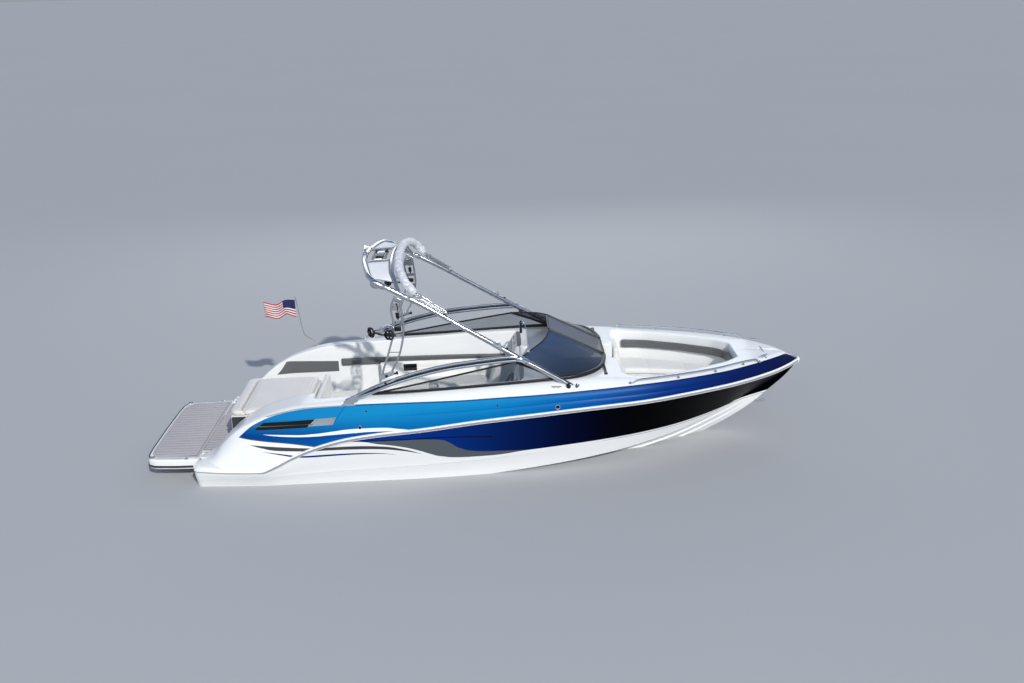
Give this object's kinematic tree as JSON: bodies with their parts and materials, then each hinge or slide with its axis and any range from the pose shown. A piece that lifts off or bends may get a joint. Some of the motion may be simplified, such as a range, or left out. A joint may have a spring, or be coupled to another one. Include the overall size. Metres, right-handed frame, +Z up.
{
  "type": "bow rider sport boat with wake tower",
  "caption": "Open bow-rider speedboat with blue side bands, tinted windshield, folding wake tower, swim platform, sun pad and stern drive, afloat at its waterline.",
  "frame": {"origin": "on the waterline, on the centre line, in the plane of the transom", "axes": "+X forward to the bow, +Y to port, +Z up out of the water"},
  "size_m": [8.6, 2.777, 3.644],
  "materials": {
    "gelcoat": "glossy moulded finish",
    "rail_alloy": "satin extrusion",
    "deck_mat": "ribbed grey foam decking",
    "liner": "moulded liner",
    "upholstery": "stitched marine vinyl",
    "trim_vinyl": "grey marine vinyl",
    "engine_paint": "satin paint",
    "black_trim": "satin black",
    "tinted_glass": "tinted",
    "mirror_face": "dark housing",
    "tower_alloy": "polished tube",
    "stainless": "polished",
    "boot_canvas": "white canvas boot",
    "flag_cloth": "woven cloth",
    "drive_paint": "gloss paint",
    "prop_steel": "polished steel",
    "dial": "dial face"
  },
  "bodies": {
    "boat": {"hull": "gelcoat", "deck": "gelcoat", "console_bases": "liner", "bow_seat_base": "liner", "rub_rail": "rail_alloy", "stem_cap": "stainless", "swim_platform": "gelcoat", "platform_decking": "deck_mat", "platform_cleats": "stainless", "cockpit_floor": "deck_mat", "bow_floor": "deck_mat", "engine_block": "engine_paint", "engine_box": "trim_vinyl", "bench_base": "liner", "aft_bench": "upholstery", "port_lounge_base": "liner", "port_lounge": "upholstery", "coaming_pads": "trim_vinyl", "helm_pedestal": "stainless", "helm_seat": "upholstery", "helm_console": "liner", "port_console": "liner", "gauges": "dial", "throttle": "black_trim", "bow_cushions": "upholstery", "bow_backrests": "upholstery", "bow_side_pads": "trim_vinyl", "windshield_frame": "black_trim", "windshield_glass": "tinted_glass", "rear_view_mirror": "mirror_face", "tower_legs": "tower_alloy", "rear_braces": "tower_alloy", "bow_rails": "stainless", "cleats": "stainless", "bow_eye": "stainless", "stern_eyes": "stainless", "flag_staff": "stainless", "flag": "flag_cloth", "side_fittings": "stainless", "drive_mount": "drive_paint"},
    "tower": {"tower_arch": "tower_alloy", "front_hoop": "tower_alloy", "hoop_crossbars": "tower_alloy", "tower_gussets": "gelcoat", "tow_pin": "stainless", "tower_struts": "tower_alloy", "board_racks": "black_trim", "sun_top_boot": "boot_canvas", "sun_top_stays": "stainless"},
    "hatch": {"engine_hatch_lid": "gelcoat", "sun_pad": "upholstery", "aft_bolster": "upholstery"},
    "centre_panel": {"windshield_door_frame": "black_trim", "windshield_door_glass": "tinted_glass"},
    "anchor_lid": {"anchor_hatch": "gelcoat"},
    "helm_wheel": {"steering_wheel": "black_trim"},
    "gimbal": {"drive_gimbal": "drive_paint"},
    "leg": {"drive_leg": "drive_paint"},
    "prop": {"propeller": "prop_steel"}
  },
  "joints": [
    {"name": "tower_fold", "type": "hinge", "parent": "boat", "child": "tower", "pos_m": [3.87854, 0, 1.7544], "axis": [0, 1, 0], "range_deg": [0, 135]},
    {"name": "hatch_lift", "type": "hinge", "parent": "boat", "child": "hatch", "pos_m": [0.42, 0, 0.452], "axis": [0, -1, 0], "range_deg": [0, 45]},
    {"name": "centre_panel_hinge", "type": "hinge", "parent": "boat", "child": "centre_panel", "pos_m": [4.882, 0.298, 1.464], "axis": [-0.8914, 0, 0.4532], "range_deg": [0, 120]},
    {"name": "anchor_lid_hinge", "type": "hinge", "parent": "boat", "child": "anchor_lid", "pos_m": [7.096, 0, 1.161], "axis": [0, -1, 0], "range_deg": [0, 90]},
    {"name": "drive_steer", "type": "hinge", "parent": "boat", "child": "gimbal", "pos_m": [-0.13, 0, -0.14], "axis": [0, 0, 1], "range_deg": [-30, 30]},
    {"name": "drive_trim", "type": "hinge", "parent": "gimbal", "child": "leg", "pos_m": [-0.13, 0, -0.14], "axis": [0, 1, 0], "range_deg": [0, 50]},
    {"name": "propeller_spin", "type": "hinge", "parent": "leg", "child": "prop", "pos_m": [-0.59, 0, -0.66], "axis": [1, 0, 0], "continuous": true},
    {"name": "wheel_turn", "type": "hinge", "parent": "boat", "child": "helm_wheel", "pos_m": [3.965, -0.62, 1.01], "axis": [0.9061, 0, -0.423], "range_deg": [-540, 540]}
  ],
  "couplings": [
    {"joint": "wheel_turn", "follows": "drive_steer", "ratio": 18}
  ]
}
